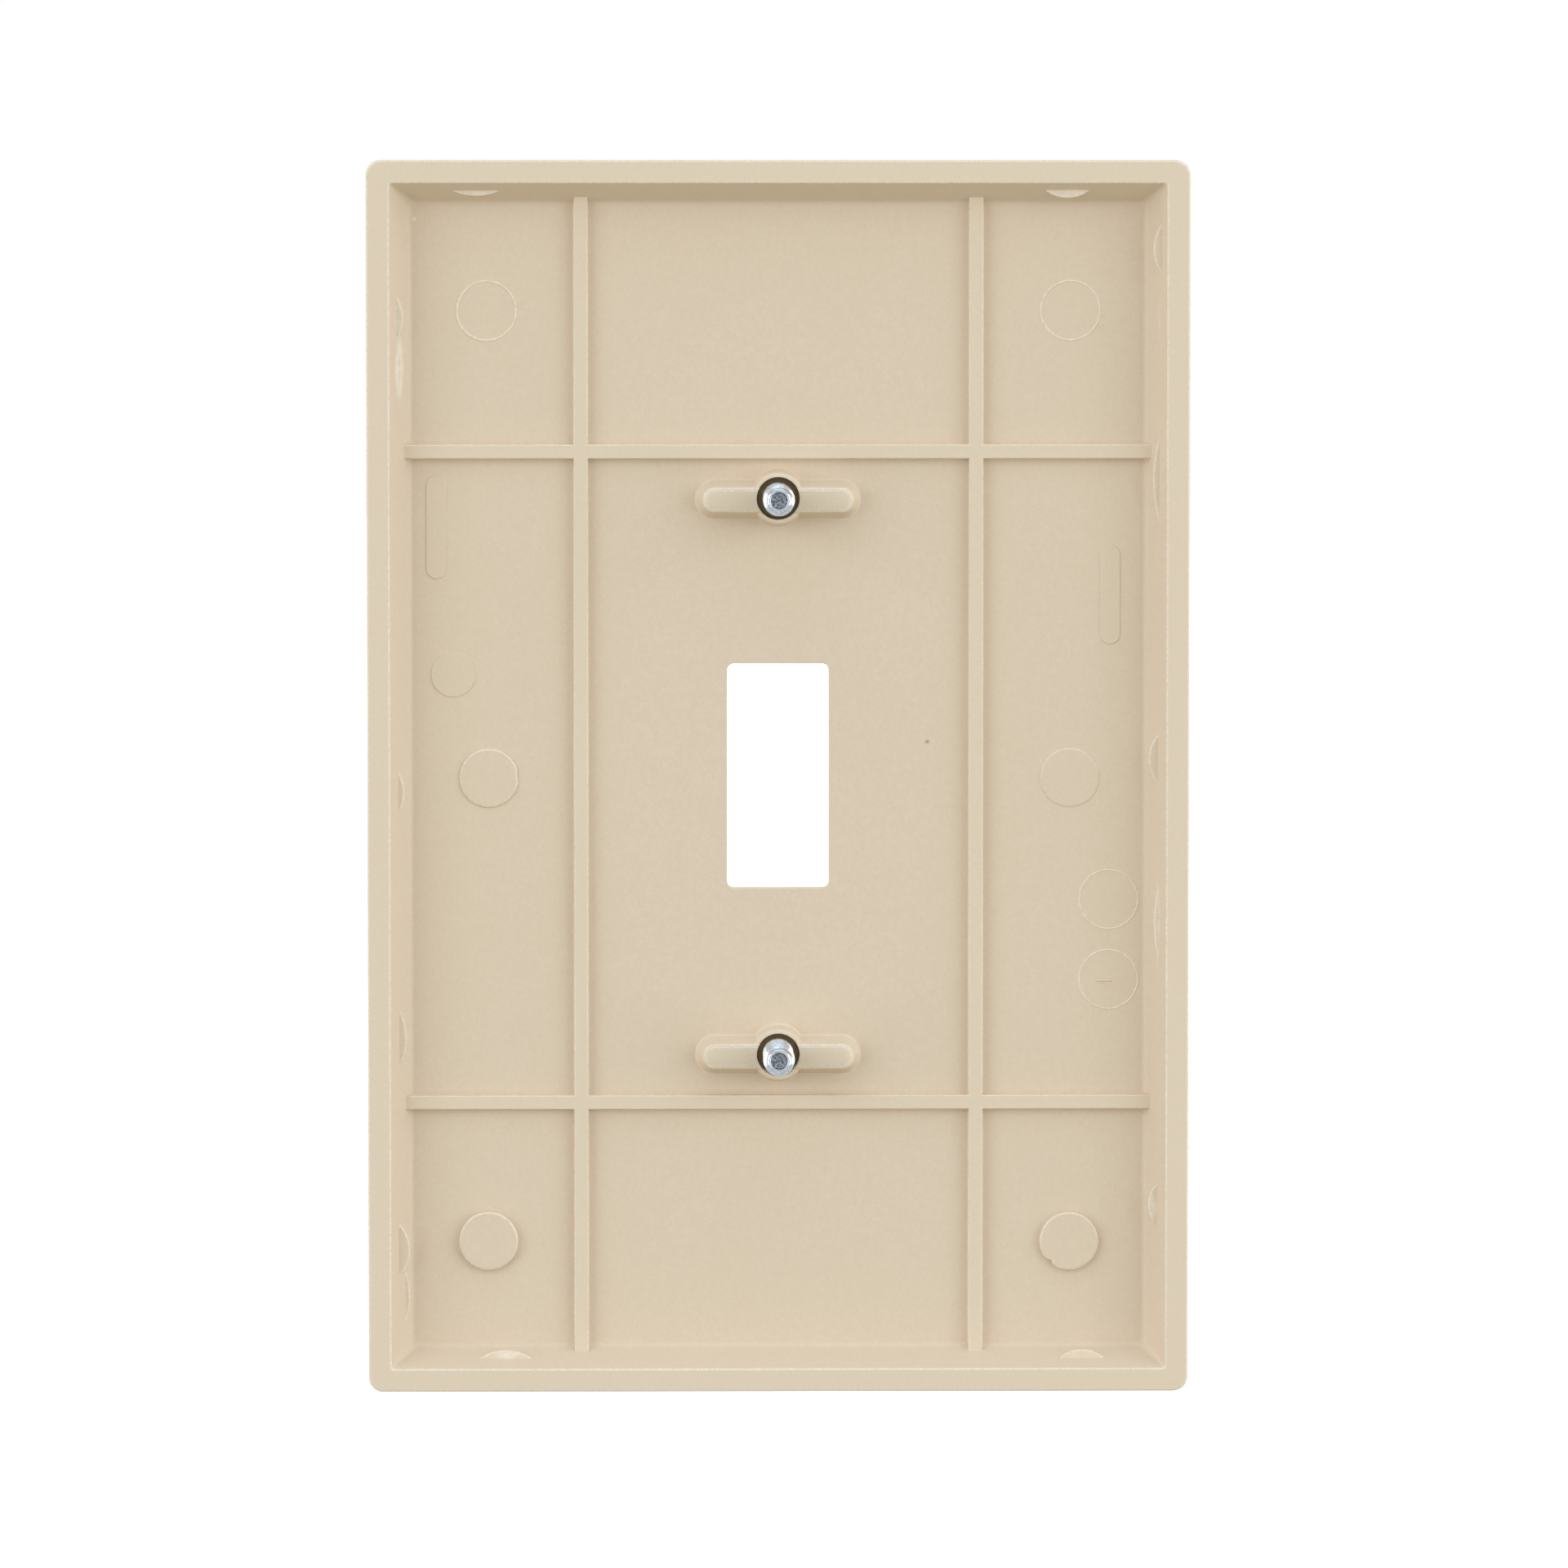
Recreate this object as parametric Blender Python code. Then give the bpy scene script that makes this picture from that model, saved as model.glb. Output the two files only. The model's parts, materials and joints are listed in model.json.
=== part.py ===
"""One-gang oversize toggle wall plate with its two cover screws.

World frame: the wall is the plane y = 0 and the plate stands in front of it, towards -Y.
+X is to the right of someone facing the plate and +Z is up. The origin is the centre of
the plate's outline in the wall plane.
"""

import math

import bmesh
import bpy
from mathutils import Vector

MM = 0.001

# Outline and section of the moulding. Its skin keeps one thickness, so the side walls
# lean inwards by the same slope outside and inside.
PLATE_WIDTH = 88.9 * MM
PLATE_HEIGHT = 133.35 * MM
PLATE_DEPTH = 6.1 * MM
SKIN = 2.1 * MM
WALL_SLOPE = 0.52
RIM_FACE = 2.45 * MM
BACK_EDGE_ROUND = 0.6 * MM
FRONT_EDGE_ROUND = 2.2 * MM
OUTER_CORNER = 1.6 * MM
RIM_INNER_CORNER = 0.35 * MM
FLOOR_CORNER = 0.8 * MM
FRONT_CORNER = 1.2 * MM
FLOOR_Y = -(PLATE_DEPTH - SKIN)

# Toggle opening.
OPENING_WIDTH = 11.0 * MM
OPENING_HEIGHT = 24.4 * MM
OPENING_CORNER = 0.7 * MM
OPENING_CHAMFER = 0.3 * MM

# Stiffening ribs on the back: two upright and two level, crossing near the corners.
RIB_BASE = 1.6 * MM
RIB_TOP = 1.2 * MM
RIB_HEIGHT = 1.0 * MM
RIB_CROSS_STEP = 0.02 * MM
UPRIGHT_RIB_X = 21.45 * MM
LEVEL_RIB_Z = 35.3 * MM

# Screw bosses: a long pad with a round collar about its hole.
SCREW_SPACING = 60.325 * MM
BOSS_HEIGHT = 3.0 * MM
PAD_BASE = (18.0 * MM, 4.4 * MM)
PAD_TOP = (15.8 * MM, 2.5 * MM)
COLLAR_BASE_RADIUS = 3.1 * MM
COLLAR_TOP_RADIUS = 2.6 * MM
HOLE_RADIUS = 2.3 * MM

# 6-32 x 1/2 in slotted oval-head screw.
SCREW_LENGTH = 12.7 * MM
THREAD_PITCH = 25.4 / 32 * MM
THREAD_RADIUS = 1.75 * MM
ROOT_RADIUS = 1.27 * MM
NECK_RADIUS = 1.45 * MM
NECK_LENGTH = 0.4 * MM
CREST_FLAT = 0.1 * MM
ROOT_FLAT = 0.13 * MM
TIP_LENGTH = 0.45 * MM
TIP_RADIUS = 1.05 * MM
DIMPLE_RADIUS = 0.8 * MM
DIMPLE_DEPTH = 0.15 * MM
HEAD_RADIUS = 3.3 * MM
HEAD_LAND = 0.15 * MM
HEAD_CONE_HALF_ANGLE = math.radians(41)
DOME_HEIGHT = 0.95 * MM
SLOT_WIDTH = 1.0 * MM
SLOT_DEPTH = 1.15 * MM
SEAT_GAP = 0.3 * MM

# Ejector pin marks: round pads on the floor, and half-moon ledges on the side walls.
PIN_RADIUS = 3.2 * MM
PIN_PAD_X = 31.5 * MM
PIN_PAD_Z = 50.4 * MM
LOWER_PAD_HEIGHT = 0.5 * MM
MIDDLE_PAD_HEIGHT = 0.2 * MM
LEDGE_HEIGHT = 2.3 * MM
LEDGE_REACH = 1.1 * MM
TOP_LEDGES_X = (-31.3 * MM, 32.6 * MM)
BOTTOM_LEDGES_X = (-33.2 * MM, 29.8 * MM)
LEFT_LEDGES_Z = (57.0 * MM, 31.9 * MM, 2.0 * MM, -16.0 * MM, -46.5 * MM)
RIGHT_LEDGES_Z = (49.2 * MM, -1.7 * MM, -28.5 * MM, -51.1 * MM, -56.6 * MM)

# How finely round shapes are cut, and how far one shape is sunk into another to join it.
CORNER_STEPS = 6
ROUND_STEPS = 4
CAP_STEPS = 8
COLLAR_STEPS = 8
CIRCLE_STEPS = 32
THREAD_STEPS = 16
SINK = 0.4 * MM
REACH = 1.0 * MM

HALF_WIDTH = PLATE_WIDTH / 2
HALF_HEIGHT = PLATE_HEIGHT / 2
RIM_HALF_WIDTH = HALF_WIDTH - RIM_FACE
RIM_HALF_HEIGHT = HALF_HEIGHT - RIM_FACE
FLOOR_HALF_WIDTH = RIM_HALF_WIDTH + FLOOR_Y * WALL_SLOPE
FLOOR_HALF_HEIGHT = RIM_HALF_HEIGHT + FLOOR_Y * WALL_SLOPE


def clear_scene():
    for obj in list(bpy.data.objects):
        bpy.data.objects.remove(obj, do_unlink=True)


def material(name, colour, roughness, metallic=0.0):
    made = bpy.data.materials.new(name)
    made.use_nodes = True
    shader = made.node_tree.nodes["Principled BSDF"]
    shader.inputs["Base Color"].default_value = (*colour, 1.0)
    shader.inputs["Roughness"].default_value = roughness
    shader.inputs["Metallic"].default_value = metallic
    return made


def new_object(name, solid):
    """A scene object from a bmesh, which is used up."""
    mesh = bpy.data.meshes.new(name)
    bmesh.ops.recalc_face_normals(solid, faces=solid.faces)
    solid.to_mesh(mesh)
    solid.free()
    obj = bpy.data.objects.new(name, mesh)
    bpy.context.scene.collection.objects.link(obj)
    return obj


def helper(name, solid):
    """A shape that only joins or cuts another, so it is not a part."""
    obj = new_object(name, solid)
    obj.hide_render = True
    obj.display_type = "WIRE"
    return obj


def combine(obj, other, operation):
    """Joins or cuts obj with another by a Boolean modifier."""
    modifier = obj.modifiers.new(other.name, "BOOLEAN")
    modifier.operation = operation
    modifier.solver = "EXACT"
    modifier.object = other


def rounded_rectangle(half_width, half_height, radius):
    """Outline points, corner by corner."""
    outline = []
    for corner, (side_x, side_z) in enumerate(((1, 1), (-1, 1), (-1, -1), (1, -1))):
        for step in range(CORNER_STEPS + 1):
            angle = math.pi / 2 * (corner + step / CORNER_STEPS)
            outline.append(
                (
                    side_x * (half_width - radius) + radius * math.cos(angle),
                    side_z * (half_height - radius) + radius * math.sin(angle),
                )
            )
    return outline


def circle(radius, steps=CIRCLE_STEPS):
    angles = [2 * math.pi * step / steps for step in range(steps)]
    return [(radius * math.cos(angle), radius * math.sin(angle)) for angle in angles]


def boss_outline(length, width, collar_radius):
    """A long pad with round ends, widened to a circle about its middle."""
    cap = width / 2
    cap_x = length / 2 - cap
    leave = math.asin(cap / collar_radius)
    outline = []
    for turn in (0, math.pi):
        for step in range(CAP_STEPS + 1):
            angle = turn + math.pi * (step / CAP_STEPS - 0.5)
            centre = cap_x * math.cos(turn)
            outline.append((centre + cap * math.cos(angle), cap * math.sin(angle)))
        for step in range(COLLAR_STEPS + 1):
            angle = turn + leave + (math.pi - 2 * leave) * step / COLLAR_STEPS
            outline.append((collar_radius * math.cos(angle), collar_radius * math.sin(angle)))
    return outline


def across(outline, y, centre=(0, 0)):
    """An outline drawn in a plane that is parallel to the wall."""
    return [Vector((x + centre[0], y, z + centre[1])) for x, z in outline]


def along(outline, z):
    """An outline drawn in a plane across the screw's own axis."""
    return [Vector((x, y, z)) for x, y in outline]


def skin_rings(mesh, rings):
    """Quads between rings that have equally many points. Returns the rings' vertices."""
    loops = [[mesh.verts.new(point) for point in ring] for ring in rings]
    for near, far in zip(loops, loops[1:]):
        for i in range(len(near)):
            j = (i + 1) % len(near)
            mesh.faces.new((near[i], near[j], far[j], far[i]))
    return loops


def loft(rings, mesh=None):
    """A solid with its skin through these rings and a flat cap on each end."""
    mesh = mesh or bmesh.new()
    loops = skin_rings(mesh, rings)
    mesh.faces.new(loops[0])
    mesh.faces.new(loops[-1])
    return mesh


def quarter_round(start, turn, radius):
    """Points on an arc that begins at angle start and sweeps through turn: across and up."""
    for step in range(ROUND_STEPS + 1):
        angle = start + turn * step / ROUND_STEPS
        yield radius * math.cos(angle), radius * math.sin(angle)


def plate_shell():
    """The shallow tray: floor, leaning walls, flat rim, rounded back edge, sloped front."""
    rings = [
        across(rounded_rectangle(FLOOR_HALF_WIDTH, FLOOR_HALF_HEIGHT, FLOOR_CORNER), FLOOR_Y),
        across(rounded_rectangle(RIM_HALF_WIDTH, RIM_HALF_HEIGHT, RIM_INNER_CORNER), 0),
    ]
    lean = math.atan(WALL_SLOPE)

    def outer_ring(inset, y, corner):
        outline = rounded_rectangle(HALF_WIDTH - inset, HALF_HEIGHT - inset, corner)
        rings.append(across(outline, y))

    for out, up in quarter_round(math.pi / 2, -math.pi / 2, BACK_EDGE_ROUND):
        inset = BACK_EDGE_ROUND - out
        outer_ring(inset, up - BACK_EDGE_ROUND, OUTER_CORNER - inset / 2)
    # The front edge's arc is tangent to the leaning wall and to the front face.
    front_arc_y = -PLATE_DEPTH + FRONT_EDGE_ROUND
    wall_drop = -front_arc_y - BACK_EDGE_ROUND + FRONT_EDGE_ROUND * math.sin(lean)
    arc_start_inset = wall_drop * WALL_SLOPE
    arc_centre_inset = arc_start_inset + FRONT_EDGE_ROUND * math.cos(lean)
    for out, up in quarter_round(-lean, lean - math.pi / 2, FRONT_EDGE_ROUND):
        outer_ring(arc_centre_inset - out, front_arc_y + up, FRONT_CORNER)
    return loft(rings)


def rib_pair(length, offset, height, upright):
    """Two parallel ribs with tapered sides, sunk into the floor and into the end walls."""
    mesh = bmesh.new()
    half = length / 2
    base_y = FLOOR_Y - SINK
    spread = (RIB_BASE - RIB_TOP) / 2 / RIB_HEIGHT
    for side in (-1, 1):
        rings = []
        for end in (-half, half):
            ring = []
            for y, flank in ((base_y, -1), (base_y, 1), (FLOOR_Y + height, 1), (FLOOR_Y + height, -1)):
                half_thickness = RIB_BASE / 2 - (y - FLOOR_Y) * spread
                crosswise = side * offset + flank * half_thickness
                ring.append(Vector((crosswise, y, end) if upright else (end, y, crosswise)))
            rings.append(ring)
        loft(rings, mesh)
    return mesh


def boss(z):
    """Long pad and round collar about a screw hole, with tapered sides."""
    sunk = 1 + SINK / BOSS_HEIGHT
    foot = [base + (base - top) * (sunk - 1) for base, top in zip(PAD_BASE, PAD_TOP)]
    collar_foot = COLLAR_BASE_RADIUS + (COLLAR_BASE_RADIUS - COLLAR_TOP_RADIUS) * (sunk - 1)
    return loft(
        [
            across(boss_outline(*foot, collar_foot), FLOOR_Y - SINK, (0, z)),
            across(boss_outline(*PAD_TOP, COLLAR_TOP_RADIUS), FLOOR_Y + BOSS_HEIGHT, (0, z)),
        ]
    )


def screw_hole(z):
    """Clearance hole with a countersink for the head, as a cutter."""
    mouth_radius = HEAD_RADIUS + SEAT_GAP / math.cos(HEAD_CONE_HALF_ANGLE)
    spread = math.tan(HEAD_CONE_HALF_ANGLE)
    seat_y = -PLATE_DEPTH + HEAD_LAND
    front_y = -PLATE_DEPTH - REACH
    profile = [
        (HOLE_RADIUS, REACH),
        (HOLE_RADIUS, seat_y + (mouth_radius - HOLE_RADIUS) / spread),
        (mouth_radius, seat_y),
        (mouth_radius, front_y),
    ]
    return loft([across(circle(radius), y, (0, z)) for radius, y in profile])


def toggle_opening():
    """Cutter for the opening, with its front edge eased."""
    half_width = OPENING_WIDTH / 2
    half_height = OPENING_HEIGHT / 2
    profile = [
        (0, REACH),
        (0, -PLATE_DEPTH + OPENING_CHAMFER),
        (OPENING_CHAMFER + REACH, -PLATE_DEPTH - REACH),
    ]
    return loft(
        [
            across(rounded_rectangle(half_width + grow, half_height + grow, OPENING_CORNER + grow), y)
            for grow, y in profile
        ]
    )


def pin_pads(z, height):
    """A pair of round ejector marks standing a little above the floor."""
    mesh = bmesh.new()
    for x in (-PIN_PAD_X, PIN_PAD_X):
        outline = circle(PIN_RADIUS, CIRCLE_STEPS)
        loft([across(outline, y, (x, z)) for y in (FLOOR_Y - SINK, FLOOR_Y + height)], mesh)
    return mesh


def half_moon():
    """A slice of a pin's round end that reaches inwards from a wall, about the wall's line."""
    back = SINK
    spread = math.acos((PIN_RADIUS - LEDGE_REACH - back) / PIN_RADIUS)
    points = []
    for step in range(CAP_STEPS + 1):
        angle = spread * (2 * step / CAP_STEPS - 1)
        points.append((PIN_RADIUS * math.sin(angle), LEDGE_REACH - PIN_RADIUS * (1 - math.cos(angle))))
    return points


def wall_ledges():
    """Half-moon ledges on the four inner walls, where ejector pins met the slope."""
    mesh = bmesh.new()
    top_y = FLOOR_Y + LEDGE_HEIGHT
    wall_x = FLOOR_HALF_WIDTH + LEDGE_HEIGHT * WALL_SLOPE
    wall_z = FLOOR_HALF_HEIGHT + LEDGE_HEIGHT * WALL_SLOPE
    outlines = []
    for x in TOP_LEDGES_X:
        outlines.append([(x + a, wall_z - reach) for a, reach in half_moon()])
    for x in BOTTOM_LEDGES_X:
        outlines.append([(x + a, -wall_z + reach) for a, reach in half_moon()])
    for z in LEFT_LEDGES_Z:
        outlines.append([(-wall_x + reach, z + a) for a, reach in half_moon()])
    for z in RIGHT_LEDGES_Z:
        outlines.append([(wall_x - reach, z + a) for a, reach in half_moon()])
    for outline in outlines:
        loft([across(outline, y) for y in (FLOOR_Y - SINK, top_y)], mesh)
    return mesh


def build_plate(plastic):
    plate = new_object("wall_plate", plate_shell())
    plate.data.materials.append(plastic)
    rib_overrun = 2 * REACH
    upright_length = 2 * FLOOR_HALF_HEIGHT + rib_overrun
    level_length = 2 * FLOOR_HALF_WIDTH + rib_overrun
    level_height = RIB_HEIGHT - RIB_CROSS_STEP
    half_spacing = SCREW_SPACING / 2
    added = {
        "upright_ribs": rib_pair(upright_length, UPRIGHT_RIB_X, RIB_HEIGHT, upright=True),
        "level_ribs": rib_pair(level_length, LEVEL_RIB_Z, level_height, upright=False),
        "upper_boss": boss(half_spacing),
        "lower_boss": boss(-half_spacing),
        "lower_pin_pads": pin_pads(-PIN_PAD_Z, LOWER_PAD_HEIGHT),
        "middle_pin_pads": pin_pads(0, MIDDLE_PAD_HEIGHT),
        "wall_ledges": wall_ledges(),
    }
    for name, solid in added.items():
        combine(plate, helper(name, solid), "UNION")
    cut = {
        "toggle_opening": toggle_opening(),
        "upper_screw_hole": screw_hole(half_spacing),
        "lower_screw_hole": screw_hole(-half_spacing),
    }
    for name, solid in cut.items():
        combine(plate, helper(name, solid), "DIFFERENCE")
    return plate


def head_rings():
    """Domed top, short land and countersunk cone, from the dome's crown to the neck."""
    dome_radius = (HEAD_RADIUS**2 + DOME_HEIGHT**2) / (2 * DOME_HEIGHT)
    rise = math.asin(HEAD_RADIUS / dome_radius)
    rings = []
    for step in range(1, ROUND_STEPS + 1):
        angle = rise * step / ROUND_STEPS
        z = dome_radius * (1 - math.cos(angle)) - DOME_HEIGHT
        rings.append((dome_radius * math.sin(angle), z))
    cone_end = HEAD_LAND + (HEAD_RADIUS - NECK_RADIUS) / math.tan(HEAD_CONE_HALF_ANGLE)
    rings.append((HEAD_RADIUS, HEAD_LAND))
    rings.append((NECK_RADIUS, cone_end))
    rings.append((NECK_RADIUS, cone_end + NECK_LENGTH))
    return rings


def thread_columns(start, end):
    """Points of a helical thread: one column of root and crest points for each step of its turn.

    The crest rises out of the root over the first half turn and sinks back over the last.
    """
    flank = (THREAD_PITCH - CREST_FLAT - ROOT_FLAT) / 2
    offsets = (0, ROOT_FLAT, ROOT_FLAT + flank, ROOT_FLAT + flank + CREST_FLAT)
    steps = int((end - start - THREAD_PITCH) / THREAD_PITCH * THREAD_STEPS)
    columns = []
    for k in range(steps + 1):
        angle = 2 * math.pi * k / THREAD_STEPS
        share = min(1, 2 * k / THREAD_STEPS, 2 * (steps - k) / THREAD_STEPS)
        crest = ROOT_RADIUS + (THREAD_RADIUS - ROOT_RADIUS) * share
        height = start + THREAD_PITCH * k / THREAD_STEPS
        column = []
        for offset, radius in zip(offsets, (ROOT_RADIUS, ROOT_RADIUS, crest, crest)):
            column.append((radius * math.cos(angle), radius * math.sin(angle), height + offset))
        columns.append(column)
    return columns


def thread_skin(mesh, neck, tip, columns):
    """Quads over the thread, then the joins to the neck's ring and to the tip's ring."""
    turn = THREAD_STEPS
    cols = [[mesh.verts.new(point) for point in column] for column in columns]
    last = len(cols) - 1
    for k in range(last):
        for row in range(3):
            mesh.faces.new((cols[k][row], cols[k + 1][row], cols[k + 1][row + 1], cols[k][row + 1]))
        if k + 1 + turn <= last:
            mesh.faces.new((cols[k][3], cols[k + 1][3], cols[k + 1 + turn][0], cols[k + turn][0]))
    for k in range(turn):
        mesh.faces.new((neck[k], neck[(k + 1) % turn], cols[k + 1][0], cols[k][0]))
        m = last - turn + k
        mesh.faces.new((cols[m][3], cols[m + 1][3], tip[(m + 1) % turn], tip[m % turn]))
    first_edge = [*cols[0], cols[turn][0]]
    last_edge = [cols[last - turn][3], *cols[last]]
    for near, far in zip(first_edge, first_edge[1:]):
        mesh.faces.new((neck[0], near, far))
    for near, far in zip(last_edge, last_edge[1:]):
        mesh.faces.new((tip[last % turn], near, far))


def screw_solid():
    """The screw about its own +Z axis: head's rim at z = 0, tip at z = SCREW_LENGTH."""
    mesh = bmesh.new()
    steps = THREAD_STEPS
    head = skin_rings(mesh, [along(circle(radius, steps), z) for radius, z in head_rings()])
    crown = mesh.verts.new((0, 0, -DOME_HEIGHT))
    for i in range(steps):
        mesh.faces.new((crown, head[0][i], head[0][(i + 1) % steps]))
    thread_start = head_rings()[-1][1] + THREAD_PITCH / 8
    thread_end = SCREW_LENGTH - TIP_LENGTH
    tip_profile = [
        (ROOT_RADIUS - SINK / 8, thread_end + THREAD_PITCH / 8),
        (TIP_RADIUS, SCREW_LENGTH),
        (DIMPLE_RADIUS, SCREW_LENGTH),
        (DIMPLE_RADIUS / 2, SCREW_LENGTH - DIMPLE_DEPTH),
    ]
    tip = skin_rings(mesh, [along(circle(radius, steps), z) for radius, z in tip_profile])
    mesh.faces.new(tip[-1])
    thread_skin(mesh, head[-1], tip[0], thread_columns(thread_start, thread_end))
    return mesh


def slot_cutter():
    """Box across the head, along the screw's own Y."""
    half_width = SLOT_WIDTH / 2
    half_length = HEAD_RADIUS + REACH
    outline = [
        (half_width, half_length),
        (-half_width, half_length),
        (-half_width, -half_length),
        (half_width, -half_length),
    ]
    return loft([along(outline, z) for z in (-DOME_HEIGHT - REACH, SLOT_DEPTH - DOME_HEIGHT)])


def build_screws(steel):
    """Both screws share one mesh, with their own +Z axis turned to point at the wall."""
    blank = helper("screw_blank", screw_solid())
    blank.data.materials.append(steel)
    combine(blank, helper("driver_slot", slot_cutter()), "DIFFERENCE")
    graph = bpy.context.evaluated_depsgraph_get()
    mesh = bpy.data.meshes.new_from_object(blank.evaluated_get(graph))
    for name, side in (("upper_screw", 1), ("lower_screw", -1)):
        screw = bpy.data.objects.new(name, mesh)
        bpy.context.scene.collection.objects.link(screw)
        screw.location = (0, -PLATE_DEPTH, side * SCREW_SPACING / 2)
        screw.rotation_euler = (-math.pi / 2, 0, 0)


def main():
    clear_scene()
    build_plate(material("ivory_plastic", (0.70, 0.58, 0.42), 0.45))
    build_screws(material("zinc_plated_steel", (0.72, 0.73, 0.75), 0.28, 1.0))


main()
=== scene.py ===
"""Looks of the oversize toggle wall plate: fine meshes, materials, light and camera.

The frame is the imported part: the wall is the plane y = 0, the plate stands in front of it
towards -Y, +X is to the right of someone facing the plate, and +Z is up. Sizes and places
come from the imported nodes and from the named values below, in metres.
"""

import json
import math

import bmesh
import bpy
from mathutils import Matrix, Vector


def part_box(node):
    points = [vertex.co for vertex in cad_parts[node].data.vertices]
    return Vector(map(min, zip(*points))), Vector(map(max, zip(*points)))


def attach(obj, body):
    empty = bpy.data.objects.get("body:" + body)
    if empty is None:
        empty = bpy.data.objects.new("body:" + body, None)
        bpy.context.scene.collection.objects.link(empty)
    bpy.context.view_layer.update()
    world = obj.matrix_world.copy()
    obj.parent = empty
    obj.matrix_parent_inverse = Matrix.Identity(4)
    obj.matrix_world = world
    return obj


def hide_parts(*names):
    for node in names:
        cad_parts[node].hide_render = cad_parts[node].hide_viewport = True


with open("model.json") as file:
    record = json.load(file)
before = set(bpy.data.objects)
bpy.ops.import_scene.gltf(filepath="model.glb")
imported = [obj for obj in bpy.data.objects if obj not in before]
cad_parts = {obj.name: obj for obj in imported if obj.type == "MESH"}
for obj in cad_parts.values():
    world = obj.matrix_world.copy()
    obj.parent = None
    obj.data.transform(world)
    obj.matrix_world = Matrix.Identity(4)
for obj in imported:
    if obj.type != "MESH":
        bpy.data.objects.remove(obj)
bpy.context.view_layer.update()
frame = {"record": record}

MM = 0.001

# Places read from the frame.
MOUNTS = {mount["name"]: Vector(mount["pos_m"]) for mount in frame["record"]["mounts"]}
PLATE_LOW, PLATE_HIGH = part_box("wall_plate")
SCREW_LOW, SCREW_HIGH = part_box("upper_screw")
HALF_WIDTH = PLATE_HIGH.x
HALF_HEIGHT = PLATE_HIGH.z
PLATE_DEPTH = -PLATE_LOW.y
BOSS_TOP_Y = MOUNTS["upper_boss_face"].y
SCREW_Z = MOUNTS["upper_boss_face"].z
HEAD_RADIUS = SCREW_HIGH.x
DOME_HEIGHT = PLATE_LOW.y - SCREW_LOW.y
SCREW_LENGTH = SCREW_HIGH.y + PLATE_DEPTH

# The moulding's section.
SKIN = 2.1 * MM
FLOOR_Y = SKIN - PLATE_DEPTH
WALL_SLOPE = 0.52
RIM_FACE = 2.45 * MM
FLOOR_INSET = RIM_FACE - FLOOR_Y * WALL_SLOPE
WALL_FOOT_ROUND = 0.75 * MM
RIM_INNER_ROUND = 0.28 * MM
# Faces of the rim's inner rounding with more +Y in their normal than this are painted pale as a
# highlight.
RIM_HIGHLIGHT_LEAN = 0.55
BACK_EDGE_ROUND = 0.25 * MM
SIDE_LAND = 0.6 * MM
FRONT_EDGE_ROUND = 2.2 * MM
FRONT_FACING = -0.05
OUTER_CORNER = 1.6 * MM
FRONT_CORNER = 1.2 * MM
RIM_INNER_CORNER = 0.35 * MM
FLOOR_CORNER = 0.8 * MM

# Toggle opening and screw holes.
OPENING_HALF = Vector((5.5 * MM, 12.2 * MM))
OPENING_CORNER = 0.7 * MM
OPENING_BACK_ROUND = 0.12 * MM
OPENING_FRONT_ROUND = 0.35 * MM
HOLE_RADIUS = 2.33 * MM
HOLE_EDGE_ROUND = 0.08 * MM
SEAT_GAP = 0.15 * MM
HEAD_LAND = 0.15 * MM
HEAD_CONE_HALF_ANGLE = math.radians(41)
SEAT_MOUTH = HEAD_RADIUS + SEAT_GAP / math.cos(HEAD_CONE_HALF_ANGLE)
SEAT_Y = -PLATE_DEPTH + HEAD_LAND
SEAT_END_Y = SEAT_Y + (SEAT_MOUTH - HOLE_RADIUS) / math.tan(HEAD_CONE_HALF_ANGLE)

# Ribs.
RIB_HALF_FOOT = 0.78 * MM
RIB_HALF_TOP = 0.75 * MM
RIB_HEIGHT = 1.0 * MM
RIB_CROSS_STEP = 0.004 * MM
RIB_FOOT_ROUND = 0.06 * MM
RIB_EDGE_ROUND = 0.15 * MM
UPRIGHT_RIBS_X = (-21.45 * MM, 21.35 * MM)
LEVEL_RIBS_Z = (-35.45 * MM, 35.2 * MM)

# Bosses.
BOSS_HEIGHT = BOSS_TOP_Y - FLOOR_Y
PAD_HALF = Vector((8.85 * MM, 2.05 * MM))
PAD_CORNER = 2.0 * MM
PAD_DROP = 0.15 * MM
PAD_DRAFT = 0.75 * MM
PAD_FOOT_ROUND = 0.3 * MM
PAD_EDGE_ROUND = 0.3 * MM
PAD_CROWN = ((0.35 * MM, 0.05 * MM), (0.8 * MM, 0.01 * MM), (1.15 * MM, 0.0))
PAD_CROWN_DROP = 0.12 * MM
# The pad's sloping faces above this y are painted pale as a highlight.
PAD_HIGHLIGHT_Y = BOSS_TOP_Y - 1.0 * MM
COLLAR_RADIUS = 3.05 * MM
COLLAR_DROP = 0.4 * MM
COLLAR_DRAFT = 0.3 * MM
COLLAR_FOOT_ROUND = 0.3 * MM
COLLAR_EDGE_ROUND = 0.35 * MM

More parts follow.
